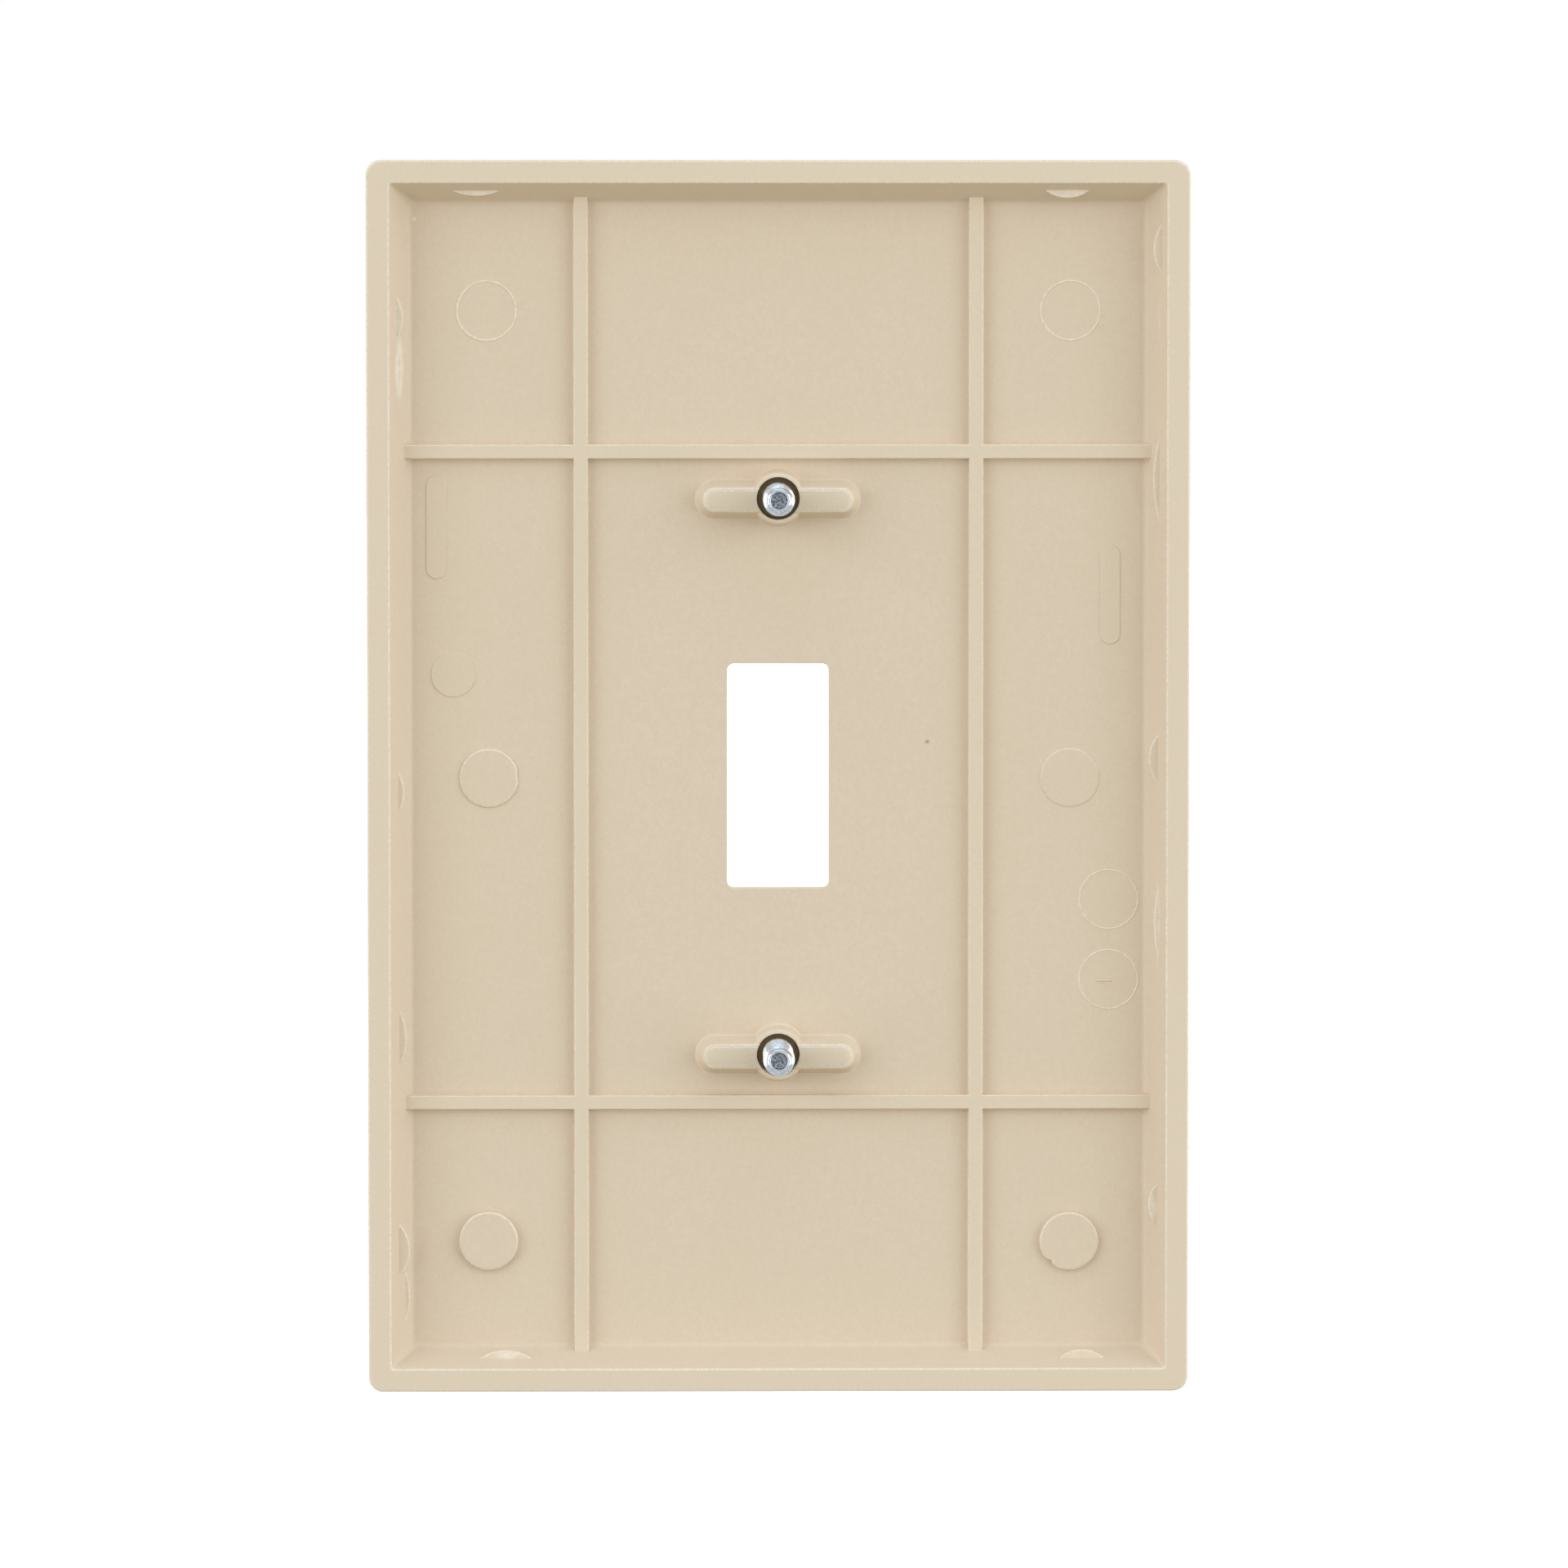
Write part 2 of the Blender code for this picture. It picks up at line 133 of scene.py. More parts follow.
# Ejector pin marks. A pad is (x, z, height, angle and depth of the bite out of its edge), and
# a ring is (x, z, half its line's width). A ledge is (place along its wall, reach from the
# wall, height above the floor, length). All in mm.
PIN_RADIUS = 3.2 * MM
PIN_PADS = (
    (31.45, -50.6, 0.8, 0, 0.0),
    (-31.65, -50.7, 0.7, -48, 0.33),
    (31.35, -0.2, 0.26, 176, 0.14),
    (-31.65, -0.2, 0.14, 0, 0.0),
)
PIN_PAD_EDGE = ((0.0, 0.34), (0.02, 0.22), (0.08, 0.1), (0.17, 0.03), (0.3, 0.0))
PIN_PAD_EDGE_SHARE = 0.7
BITE_SPREAD = 0.12
PIN_RINGS = (
    (31.55, 50.4, 0.17),
    (-31.65, 50.45, 0.15),
    (-35.9, -13.45, 0.11),
    (-35.9, -22.15, 0.11),
)
RING_SECTION = ((-1, -1), (-0.6, 0.55), (0, 1), (0.6, 0.55), (1, -1))
RING_RISE = 0.6
DIAL_TICK = (-35.45, -22.3, 0.85, 0.1)
TOP_LEDGES = ((-31.2, 0.88, 2.5, 5.0), (32.6, 0.6, 2.4, 5.4))
BOTTOM_LEDGES = ((-33.0, 0.97, 2.2, 5.0), (29.6, 0.97, 2.2, 5.9))
LEFT_LEDGES = (
    (57.1, 0.95, 2.9, 5.5),
    (32.2, 0.7, 2.5, 9.4),
    (1.9, 1.0, 2.3, 5.3),
    (-15.8, 0.5, 2.5, 7.9),
    (-46.6, 0.95, 2.3, 4.7),
)
RIGHT_LEDGES = (
    (49.6, 0.75, 2.5, 4.8),
    (44.1, 0.45, 2.2, 5.8),
    (-1.7, 0.7, 2.35, 4.7),
    (-28.4, 0.8, 2.2, 6.3),
    (-51.4, 1.25, 2.4, 5.75),
    (-56.6, 0.5, 1.1, 5.9),
)
LEDGE_EDGE = 0.2 * MM
LEDGE_EDGE_MIDDLE = 0.3

# Blank raised lozenges, in place of the moulded marks. Each is (x, z, half width, half height).
BLANK_MARKS = (
    (37.0, 27.0, 1.1, 5.6),
    (35.2, 11.0, 2.4, 2.4),
    (-36.0, 19.7, 1.1, 5.4),
)
MARK_HEIGHT = 0.1 * MM

# Screw.
THREAD_PITCH = 25.4 / 32 * MM
THREAD_RADIUS = 1.71 * MM
ROOT_RADIUS = 1.3 * MM
NECK_RADIUS = 1.45 * MM
DIMPLE_RADIUS = 0.88 * MM
HEAD_EDGE_ROUND = 0.06 * MM
NECK_ROUND = 0.15 * MM
NECK_LENGTH = 0.35 * MM
CONE_END = HEAD_LAND + (HEAD_RADIUS - NECK_RADIUS) / math.tan(HEAD_CONE_HALF_ANGLE)
SLOT_WIDTH = 1.0 * MM
SLOT_DEPTH = 1.15 * MM
SLOT_EDGE_ROUND = 0.07 * MM

# The thread's section over one pitch: (share of the pitch, share of the height).
THREAD_FORM = (
    (0, 0),
    (0.06, 0),
    (0.16, 0.12),
    (0.34, 0.62),
    (0.47, 0.97),
    (0.55, 1),
    (0.63, 0.97),
    (0.76, 0.62),
    (0.94, 0.12),
)

# How fast the thread grows out of the neck, and sinks back at the tip, in heights a turn.
THREAD_RUN_IN = 1.5
THREAD_RUN_OUT = 2.5

# The screw's tip: (radius, distance from the end, rounding), in mm.
TIP_CORNERS = (
    (1.36, 0.5, 0),
    (1.3, 0.14, 0.1),
    (1.12, 0, 0.12),
    (0.93, 0.04, 0.08),
    (0.84, 0.3, 0.1),
    (0.1, 0.36, 0),
)

# Camera, as seen from behind the plate.
CAMERA_AZIMUTH = math.radians(179.2)
CAMERA_ELEVATION = math.radians(3.4)
CAMERA_DISTANCE = 1.05
CAMERA_TARGET = Vector((-0.6 * MM, 0, -0.65 * MM))
VIEW_WIDTH = 169.5 * MM

# The plate's materials and the screws', by number.
# The rubbed material is pale flash round ejector pins and a painted highlight on rounded edges; the
# land material is painted a little paler as sheen.
BACK, FRONT, LAND_SHEEN, FLASH_AND_HIGHLIGHT, BORE = range(5)
ZINC, PAINT, DIMPLE_SHADE = range(3)

# Soft boxes behind the plate: name, place, size, power and tint. The side ones stand before
# it too, where they are dimmer.
SOFT_BOXES = (
    ("top_box", (0, 0.5, 2.6), (2.6, 1.6), 8.6, (0.56, 0.82, 1)),
    ("right_box", (2.6, 0.7, 0.2), (1.6, 2.6), 10.1, (0.84, 0.86, 1)),
    ("right_corner_box", (1.9, 1.6, 0.2), (1.6, 2.6), 19.5, (0.9, 0.96, 1)),
    ("left_box", (-2.6, 0.7, 0.2), (1.6, 2.6), 18.3, (0.84, 0.9, 1)),
    ("left_corner_box", (-1.9, 1.6, 0.2), (1.6, 2.6), 17.0, (0.91, 0.98, 1)),
)
FRONT_SHARE = 0.7

# The room's light from above, and the warmer light that its floor sends back up.
LIGHT_ABOVE = (0.795, 0.816, 0.825, 1)
LIGHT_BELOW = (0.346, 0.324, 0.234, 1)

# What smooth metal mirrors from below: a pale table.
MIRRORED_BELOW = (0.78, 0.82, 0.86, 1)

# How far above and below level the one light blends into the other.
HORIZON_BLEND = 0.3

FLOOR_HALF = 3.0
FLOOR_WHITE = (0.8, 0.8, 0.8, 1)
FLOOR_GLOW = 0.8

# How finely round shapes are cut, and how far one shape is sunk into another to join it. A
# sunken foot is rounded by a little less than its own width, so that no two points meet.
CORNER_STEPS = 8
ARC_STEPS = 5
CIRCLE_STEPS = 96
THREAD_STEPS = 48
SINK = 0.4 * MM
REACH = 1.0 * MM
TUCK = 0.003 * MM
FOOT_SHARE = 0.95
END_SHARE = 0.98

# A raised shape's face is its sloping edge, which may be painted pale as a highlight, if this
# much of its normal is along +Y.
HIGHLIGHT_LEAN = (0.3, 0.97)

SMOOTH_ANGLE = math.radians(32)
SHARP_ANGLE = 0.5
NORMAL_WEIGHT = 80


# ---------------------------------------------------------------- mesh building


def new_object(name, solid):
    """A scene object from a bmesh, which is used up."""
    mesh = bpy.data.meshes.new(name)
    bmesh.ops.recalc_face_normals(solid, faces=solid.faces)
    solid.to_mesh(mesh)
    solid.free()
    obj = bpy.data.objects.new(name, mesh)
    bpy.context.scene.collection.objects.link(obj)
    return obj


def combine(obj, name, solid, operation, surface=BACK, edge=None, edge_above=-PLATE_DEPTH):
    """Joins or cuts obj with a solid, at once.

    The surface and the edge are numbers in obj's materials. The edge's is for sloping faces
    whose y is above edge_above: a painted highlight on them.
    """
    other = new_object(name, solid)
    for material in obj.data.materials:
        other.data.materials.append(material)
    for face in other.data.polygons:
        sloping = HIGHLIGHT_LEAN[0] < face.normal.y < HIGHLIGHT_LEAN[1] and face.center.y > edge_above
        face.material_index = edge if sloping and edge is not None else surface
    modifier = obj.modifiers.new(name, "BOOLEAN")
    modifier.operation = operation
    modifier.solver = "EXACT"
    modifier.material_mode = "INDEX"
    modifier.object = other
    graph = bpy.context.evaluated_depsgraph_get()
    mesh = bpy.data.meshes.new_from_object(obj.evaluated_get(graph))
    obj.modifiers.clear()
    obj.data = mesh
    bpy.data.objects.remove(other, do_unlink=True)


def rounded_path(corners, steps=ARC_STEPS):
    """Points of a path whose corners, each (across, up, radius, extra), are turned into arcs.

    The extra value goes with every point of its corner.
    """
    path = []
    for i, (across, up, radius, extra) in enumerate(corners):
        corner = Vector((across, up))
        if not radius or i in (0, len(corners) - 1):
            path.append((across, up, extra))
            continue
        back = (Vector(corners[i - 1][:2]) - corner).normalized()
        ahead = (Vector(corners[i + 1][:2]) - corner).normalized()
        half_angle = back.angle(ahead) / 2
        centre = corner + (back + ahead).normalized() * radius / math.sin(half_angle)
        start = corner + back * radius / math.tan(half_angle) - centre
        end = corner + ahead * radius / math.tan(half_angle) - centre
        for step in range(steps + 1):
            share = step / steps
            sweep = start.angle(end)
            blend = start * math.sin((1 - share) * sweep) + end * math.sin(share * sweep)
            point = centre + blend / math.sin(sweep)
            path.append((point.x, point.y, extra))
    return path


def rounded_rectangle(half_width, half_height, radius):
    """An outline with equally many points at each corner: (x, z)."""
    outline = []
    for corner, (side_x, side_z) in enumerate(((1, 1), (-1, 1), (-1, -1), (1, -1))):
        for step in range(CORNER_STEPS + 1):
            angle = math.pi / 2 * (corner + step / CORNER_STEPS)
            outline.append(
                (
                    side_x * (half_width - radius) + radius * math.cos(angle),
                    side_z * (half_height - radius) + radius * math.sin(angle),
                )
            )
    return outline


def circle(radius, steps=CIRCLE_STEPS):
    """A round outline: (x, z)."""
    angles = [2 * math.pi * step / steps for step in range(steps)]
    return [(radius * math.cos(angle), radius * math.sin(angle)) for angle in angles]


def across(outline, y, centre=(0, 0)):
    """An outline drawn in a plane that is parallel to the wall."""
    return [Vector((x + centre[0], y, z + centre[1])) for x, z in outline]


def skin_rings(mesh, rings, closed=False):
    """Quads between rings that have equally many points. Returns the rings' vertices."""
    loops = [[mesh.verts.new(point) for point in ring] for ring in rings]
    pairs = list(zip(loops, loops[1:]))
    if closed:
        pairs.append((loops[-1], loops[0]))
    for near, far in pairs:
        for i in range(len(near)):
            j = (i + 1) % len(near)
            mesh.faces.new((near[i], near[j], far[j], far[i]))
    return loops


def loft(rings, mesh=None):
    """A solid with its skin through these rings and a flat cap on each end."""
    mesh = mesh or bmesh.new()
    loops = skin_rings(mesh, rings)
    mesh.faces.new(loops[0])
    mesh.faces.new(loops[-1])
    return mesh


# ---------------------------------------------------------------- the plate's shapes


def plate_shell():
    """The tray, from the middle of its floor, over the rim, to the middle of its front."""
    front_inset = (PLATE_DEPTH - SIDE_LAND) * WALL_SLOPE
    corners = [
        (FLOOR_INSET + REACH, FLOOR_Y, 0, FLOOR_CORNER),
        (FLOOR_INSET, FLOOR_Y, WALL_FOOT_ROUND, FLOOR_CORNER),
        (RIM_FACE, 0, RIM_INNER_ROUND, RIM_INNER_CORNER),
        (0, 0, BACK_EDGE_ROUND, OUTER_CORNER),
        (0, -SIDE_LAND, BACK_EDGE_ROUND, OUTER_CORNER),
        (front_inset, -PLATE_DEPTH, FRONT_EDGE_ROUND, FRONT_CORNER),
        (front_inset + 2 * FRONT_EDGE_ROUND, -PLATE_DEPTH, 0, FRONT_CORNER),
    ]
    return loft(
        [
            across(rounded_rectangle(HALF_WIDTH - inset, HALF_HEIGHT - inset, corner), y)
            for inset, y, corner in rounded_path(corners, 2 * ARC_STEPS)
        ]
    )


def rib_section(height):
    """Half of a rib's cross-section, from its sunken foot to its top: (out, up)."""
    foot_out = RIB_HALF_FOOT + RIB_FOOT_ROUND
    corners = [
        (foot_out, -SINK, 0, None),
        (foot_out, -TUCK, 0, None),
        (RIB_HALF_FOOT, -TUCK, RIB_FOOT_ROUND * FOOT_SHARE, None),
        (RIB_HALF_TOP, height, RIB_EDGE_ROUND, None),
        (0, height, 0, None),
    ]
    return [(out, up) for out, up, _ in rounded_path(corners)[:-1]]


def rib_pair(half_length, places, height, upright):
    """Two parallel ribs, sunk into the floor and into the walls at their ends."""
    half = rib_section(height)
    section = half + [(-out, up) for out, up in reversed(half)]
    mesh = bmesh.new()
    for place in places:
        rings = []
        for end in (-half_length, half_length):
            ring = []
            for out, up in section:
                crosswise = place + out
                y = FLOOR_Y + up
                ring.append(Vector((crosswise, y, end) if upright else (end, y, crosswise)))
            rings.append(ring)
        loft(rings, mesh)
    return mesh


def drafted(height, draft, foot_round, edge_round):
    """How far a raised shape's outline draws in at each height: (inset, height)."""
    corners = [
        (-foot_round, -SINK, 0, None),
        (-foot_round, -TUCK, 0, None),
        (0, -TUCK, foot_round * FOOT_SHARE, None),
        (draft, height, edge_round, None),
        (draft + 1.5 * edge_round, height, 0, None),
    ]
    return [(inset, up) for inset, up, _ in rounded_path(corners)]


def pad(z):
    """The long pad of a screw boss, with a slightly crowned top."""
    shoulder = BOSS_HEIGHT - PAD_CROWN_DROP
    profile = drafted(shoulder, PAD_DRAFT, PAD_FOOT_ROUND, PAD_EDGE_ROUND)[:-1]
    profile += [(PAD_DRAFT + inward, BOSS_HEIGHT - drop) for inward, drop in PAD_CROWN]
    rings = []
    for inset, up in profile:
        outline = rounded_rectangle(PAD_HALF.x - inset, PAD_HALF.y - inset, PAD_CORNER - inset)
        rings.append(across(outline, FLOOR_Y + up, (0, z - PAD_DROP)))
    return loft(rings)


def collar(z):
    """The round collar of a screw boss, a little lower than its pad."""
    height = BOSS_HEIGHT - COLLAR_DROP
    rings = []
    for inset, up in drafted(height, COLLAR_DRAFT, COLLAR_FOOT_ROUND, COLLAR_EDGE_ROUND):
        rings.append(across(circle(COLLAR_RADIUS - inset), FLOOR_Y + up, (0, z)))
    return loft(rings)


def screw_hole(z):
    """Cutter for the clearance hole and the countersink, with eased edges."""
    top_y = BOSS_TOP_Y + TUCK
    front_y = -PLATE_DEPTH - TUCK
    corners = [
        (HOLE_RADIUS + HOLE_EDGE_ROUND, top_y + REACH, 0, None),
        (HOLE_RADIUS + HOLE_EDGE_ROUND, top_y, 0, None),
        (HOLE_RADIUS, top_y, HOLE_EDGE_ROUND * FOOT_SHARE, None),
        (HOLE_RADIUS, SEAT_END_Y, HOLE_EDGE_ROUND, None),
        (SEAT_MOUTH, SEAT_Y, 0, None),
        (SEAT_MOUTH, front_y, HOLE_EDGE_ROUND * FOOT_SHARE, None),
        (SEAT_MOUTH + HOLE_EDGE_ROUND, front_y, 0, None),
        (SEAT_MOUTH + HOLE_EDGE_ROUND, front_y - REACH, 0, None),
    ]
    return loft([across(circle(radius), y, (0, z)) for radius, y, _ in rounded_path(corners)])


def toggle_opening():
    """Cutter for the toggle opening, with eased edges."""
    back_y = FLOOR_Y + TUCK
    front_y = -PLATE_DEPTH - TUCK
    corners = [
        (OPENING_BACK_ROUND, REACH, 0, None),
        (OPENING_BACK_ROUND, back_y, 0, None),
        (0, back_y, OPENING_BACK_ROUND * FOOT_SHARE, None),
        (0, front_y, OPENING_FRONT_ROUND * FOOT_SHARE, None),
        (OPENING_FRONT_ROUND, front_y, 0, None),
        (OPENING_FRONT_ROUND, front_y - REACH, 0, None),
    ]
    rings = []
    for grow, y, _ in rounded_path(corners):
        half = OPENING_HALF + Vector((grow, grow))
        rings.append(across(rounded_rectangle(half.x, half.y, OPENING_CORNER + grow), y))
    return loft(rings)


def pin_pad(x, z, height, bite_angle, bite_depth):
    """Rings of a raised ejector mark, with a bite out of its edge."""
    outline = []
    for step in range(CIRCLE_STEPS):
        angle = 2 * math.pi * step / CIRCLE_STEPS
        off = math.remainder(angle - math.radians(bite_angle), 2 * math.pi)
        bite = bite_depth * math.exp(-((off / BITE_SPREAD) ** 2))
        outline.append((math.cos(angle), math.sin(angle), PIN_RADIUS - bite))
    rings = []
    steepness = min(1, PIN_PAD_EDGE_SHARE * height / (PIN_PAD_EDGE[0][1] * MM))
    edge = [(inset * MM, height - drop * MM * steepness) for inset, drop in PIN_PAD_EDGE]
    for inset, up in ((0, -SINK), *edge):
        ring = [(c * (radius - inset), s * (radius - inset)) for c, s, radius in outline]
        rings.append(across(ring, FLOOR_Y + up, (x, z)))
    return rings


def pin_pads():
    """The ejector marks that stand up from the floor as flat pads."""
    mesh = bmesh.new()
    for x, z, height, bite_angle, bite_depth in PIN_PADS:
        loft(pin_pad(x * MM, z * MM, height * MM, bite_angle, bite_depth * MM), mesh)
    return mesh


def pin_rings():
    """Fine raised rings round the ejector pins that lay flush with the floor."""
    mesh = bmesh.new()
    for x, z, half_width in PIN_RINGS:
        half_width *= MM
        rings = []
        for out, up in RING_SECTION:
            outline = circle(PIN_RADIUS + out * half_width)
            rings.append(across(outline, FLOOR_Y + up * RING_RISE * half_width, (x * MM, z * MM)))
        skin_rings(mesh, rings, closed=True)
    return mesh


def half_moon(radius, reach):
    """A slice of a round: (along the wall, out from it)."""
    spread = math.acos((radius - reach - SINK) / radius)
    points = []
    for step in range(2 * CORNER_STEPS + 1):
        angle = spread * (step / CORNER_STEPS - 1)
        points.append((radius * math.sin(angle), reach - radius * (1 - math.cos(angle))))
    return points


def ledge_rings(place, reach, height, length, put):
    """Rings of one half-moon ledge. put turns (along, out, wall's inset) into x and z."""
    radius = (length**2 / 4 + reach**2) / (2 * reach)
    wall_inset = FLOOR_INSET - height * WALL_SLOPE
    rings = []
    for inset, up in (
        (0, -SINK),
        (0, height - LEDGE_EDGE),
        (LEDGE_EDGE * LEDGE_EDGE_MIDDLE, height - LEDGE_EDGE * LEDGE_EDGE_MIDDLE),
        (LEDGE_EDGE, height),
    ):
        outline = [
            put(place + along, out, wall_inset)
            for along, out in half_moon(radius - inset, reach - inset)
        ]
        rings.append(across(outline, FLOOR_Y + up))
    return rings


def wall_ledges():
    """The half-moon ledges on the four inner walls, each as a solid of its own."""
    walls = (
        (TOP_LEDGES, lambda along, out, inset: (along, HALF_HEIGHT - inset - out)),
        (BOTTOM_LEDGES, lambda along, out, inset: (along, inset + out - HALF_HEIGHT)),
        (LEFT_LEDGES, lambda along, out, inset: (inset + out - HALF_WIDTH, along)),
        (RIGHT_LEDGES, lambda along, out, inset: (HALF_WIDTH - inset - out, along)),
    )
    return [
        loft(ledge_rings(*[size * MM for size in ledge], put))
        for ledges, put in walls
        for ledge in ledges
    ]


def blank_marks():
    """Low blank lozenges with rounded ends, and the tick in a blank dial."""
    mesh = bmesh.new()
    for x, z, half_width, half_height in (*BLANK_MARKS, DIAL_TICK):
        rings = []
        for inset, up in ((0, -SINK), (0, MARK_HEIGHT / 2), (MARK_HEIGHT / 2, MARK_HEIGHT)):
            half = Vector((half_width * MM - inset, half_height * MM - inset))
            radius = min(half) * END_SHARE
            outline = rounded_rectangle(half.x, half.y, radius)
            rings.append(across(outline, FLOOR_Y + up, (x * MM, z * MM)))
        loft(rings, mesh)
    return mesh


def finish_shading(obj):
    """Smooth over rounded edges, flat over flat faces."""
    mesh = obj.data
    mesh.shade_smooth()
    mesh.set_sharp_from_angle(angle=SMOOTH_ANGLE)
    weighted = obj.modifiers.new("weighted_normals", "WEIGHTED_NORMAL")
    weighted.keep_sharp = True
    weighted.weight = NORMAL_WEIGHT


def build_plate(materials):
    """The whole moulding. The materials are in the order of their numbers."""
    plate = new_object("plate_moulding", plate_shell())
    for material in materials:
        plate.data.materials.append(material)
    for face in plate.data.polygons:
        if face.normal.y < FRONT_FACING:
            face.material_index = FRONT
        # The rim's back face is painted a little paler as sheen.
        elif face.center.y > -TUCK:
            face.material_index = LAND_SHEEN
        # The steep part of the rim's inner rounding is painted pale as a highlight.
        elif face.center.y > -RIM_INNER_ROUND and face.normal.y > RIM_HIGHLIGHT_LEAN:
            face.material_index = FLASH_AND_HIGHLIGHT
    half_height = HALF_HEIGHT - FLOOR_INSET + REACH
    half_width = HALF_WIDTH - FLOOR_INSET + REACH
    level_height = RIB_HEIGHT - RIB_CROSS_STEP
    upright_ribs = rib_pair(half_height, UPRIGHT_RIBS_X, RIB_HEIGHT, True)
    level_ribs = rib_pair(half_width, LEVEL_RIBS_Z, level_height, False)
    # Ribs, pads and ledges are painted a little paler as sheen, and their sloping edges and the pin
    # pads' are painted pale as a highlight.
    combine(plate, "upright_ribs", upright_ribs, "UNION", LAND_SHEEN, FLASH_AND_HIGHLIGHT)
    combine(plate, "level_ribs", level_ribs, "UNION", LAND_SHEEN, FLASH_AND_HIGHLIGHT)
    for side in (-1, 1):
        combine(plate, "pad", pad(side * SCREW_Z), "UNION", LAND_SHEEN, FLASH_AND_HIGHLIGHT, PAD_HIGHLIGHT_Y)
        combine(plate, "collar", collar(side * SCREW_Z), "UNION", LAND_SHEEN)
    combine(plate, "pin_pads", pin_pads(), "UNION", BACK, FLASH_AND_HIGHLIGHT)
    combine(plate, "pin_rings", pin_rings(), "UNION", FLASH_AND_HIGHLIGHT)
    for ledge in wall_ledges():
        combine(plate, "wall_ledge", ledge, "UNION", LAND_SHEEN, FLASH_AND_HIGHLIGHT)
    combine(plate, "blank_marks", blank_marks(), "UNION")
    combine(plate, "toggle_opening", toggle_opening(), "DIFFERENCE")
    for side in (-1, 1):
        combine(plate, "screw_hole", screw_hole(side * SCREW_Z), "DIFFERENCE", BORE)
    for face in plate.data.polygons:
        if face.material_index == BORE and face.center.y < SEAT_END_Y:
            face.material_index = FRONT
    finish_shading(plate)
    return plate


# ---------------------------------------------------------------- the screws' shapes


def along(outline, z):
    """An outline drawn in a plane across the screw's own axis."""
    return [Vector((x, y, z)) for x, y in outline]


def head_profile():
    """Dome, land, cone and neck: (radius, z) from the crown to the thread."""
    dome_radius = (HEAD_RADIUS**2 + DOME_HEIGHT**2) / (2 * DOME_HEIGHT)
    rise = math.asin(HEAD_RADIUS / dome_radius)
    steps = 2 * ARC_STEPS
    profile = []
    for step in range(1, steps):
        angle = rise * step / steps
        profile.append(
            (dome_radius * math.sin(angle), dome_radius * (1 - math.cos(angle)) - DOME_HEIGHT)
        )
    corners = [
        (*profile[-1], 0, None),
        (HEAD_RADIUS, 0, HEAD_EDGE_ROUND, None),
        (HEAD_RADIUS, HEAD_LAND, HEAD_EDGE_ROUND, None),
        (NECK_RADIUS, CONE_END, NECK_ROUND, None),
        (NECK_RADIUS, CONE_END + NECK_LENGTH, 0, None),
    ]
    return profile[:-1] + [(radius, z) for radius, z, _ in rounded_path(corners)]


def tip_profile():
    """Chamfer, rolled lip and dimple at the screw's end: (radius, z)."""
    corners = [
        (radius * MM, SCREW_LENGTH - back * MM, rounding * MM, None)
        for radius, back, rounding in TIP_CORNERS
    ]
    return [(radius, z) for radius, z, _ in rounded_path(corners)]


def thread_columns(start, end):
    """Columns of points up a helical thread, one for each step of its turn."""
    steps = int((end - start - THREAD_PITCH) / THREAD_PITCH * THREAD_STEPS)
    columns = []
    for k in range(steps + 1):
        angle = 2 * math.pi * k / THREAD_STEPS
        turns_in = k / THREAD_STEPS
        turns_left = (steps - k) / THREAD_STEPS
        share = min(1, THREAD_RUN_IN * turns_in, THREAD_RUN_OUT * turns_left)
        height = start + THREAD_PITCH * k / THREAD_STEPS
        column = []
        for offset, rise in THREAD_FORM:
            radius = ROOT_RADIUS + (THREAD_RADIUS - ROOT_RADIUS) * rise * share
            up = height + offset * THREAD_PITCH
            column.append((radius * math.cos(angle), radius * math.sin(angle), up))
        columns.append(column)
    return columns


def thread_skin(mesh, neck, tip, columns):
    """Quads over the thread, then the joins to the neck's ring and to the tip's ring."""
    turn = THREAD_STEPS
    cols = [[mesh.verts.new(point) for point in column] for column in columns]
    last = len(cols) - 1
    for k in range(last):
        for row in range(len(cols[0]) - 1):
            quad = (cols[k][row], cols[k + 1][row], cols[k + 1][row + 1], cols[k][row + 1])
            mesh.faces.new(quad)
        if k + 1 + turn <= last:
            mesh.faces.new((cols[k][-1], cols[k + 1][-1], cols[k + 1 + turn][0], cols[k + turn][0]))
    for k in range(turn):
        mesh.faces.new((neck[k], neck[(k + 1) % turn], cols[k + 1][0], cols[k][0]))
        m = last - turn + k
        mesh.faces.new((cols[m][-1], cols[m + 1][-1], tip[(m + 1) % turn], tip[m % turn]))
    first_edge = [*cols[0], cols[turn][0]]
    last_edge = [cols[last - turn][-1], *cols[last]]
    for near, far in zip(first_edge, first_edge[1:]):
        mesh.faces.new((neck[0], near, far))
    for near, far in zip(last_edge, last_edge[1:]):
        mesh.faces.new((tip[last % turn], near, far))


def screw_solid():
    """The screw about its own +Z axis: head's rim at z = 0, tip at z = SCREW_LENGTH."""
    mesh = bmesh.new()
    steps = THREAD_STEPS
    head = skin_rings(mesh, [along(circle(radius, steps), z) for radius, z in head_profile()])
    mesh.faces.new(head[0])
    thread_start = head_profile()[-1][1] + THREAD_PITCH / 8
    tip = skin_rings(mesh, [along(circle(radius, steps), z) for radius, z in tip_profile()])
    mesh.faces.new(tip[-1])
    thread_end = tip_profile()[0][1] - THREAD_PITCH / 8
    thread_skin(mesh, head[-1], tip[0], thread_columns(thread_start, thread_end))
    return mesh


def slot_cutter():
    """Cutter for the driver's slot across the head."""
    half_width = SLOT_WIDTH / 2
    half_length = HEAD_RADIUS + REACH
    outline = [(half_width, half_length), (-half_width, half_length)]
    outline += [(-x, -y) for x, y in outline]
    return loft([along(outline, z) for z in (-DOME_HEIGHT - REACH, SLOT_DEPTH - DOME_HEIGHT)])


